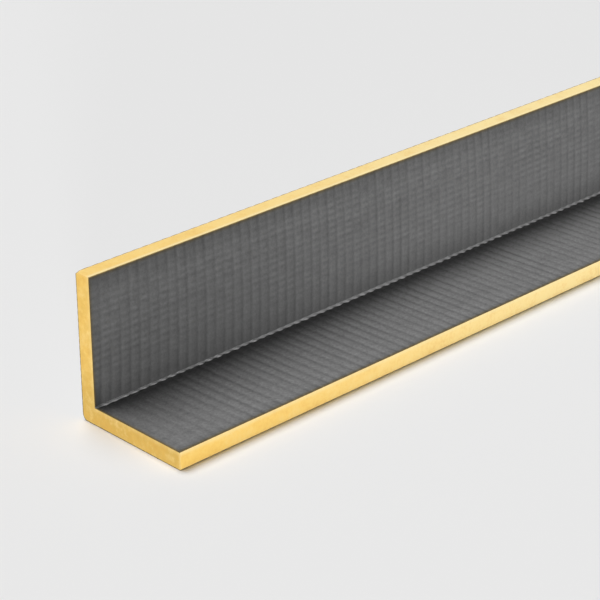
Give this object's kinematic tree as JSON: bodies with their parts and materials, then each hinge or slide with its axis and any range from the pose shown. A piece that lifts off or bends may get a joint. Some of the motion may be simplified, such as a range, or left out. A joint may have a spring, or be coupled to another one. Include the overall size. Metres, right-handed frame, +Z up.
{
  "type": "angled tile backer board",
  "caption": "L-shaped tile backer board: a yellow rigid foam angle coated with mesh-reinforced mortar on its inner and outer faces, for boxing in pipes.",
  "frame": {"origin": "centre of the bounding box's footprint, on the underside of the flat leg", "axes": "+X along the board; +Y towards the back, where the upright leg stands; +Z up, along the upright leg"},
  "size_m": [1.25, 0.145, 0.16],
  "materials": {
    "foam": "sawn closed-cell foam, warm yellow, matt",
    "mortar_facing": "charcoal grey polymer mortar over a glass-fibre mesh, matt, with the threads standing out",
    "bead_mortar": "lighter grey mortar, matt"
  },
  "bodies": {
    "root": {"foam_core": "foam", "outer_facing": "mortar_facing", "upright_facing": "mortar_facing", "flat_facing": "mortar_facing", "corner_bead": "bead_mortar"}
  },
  "joints": []
}
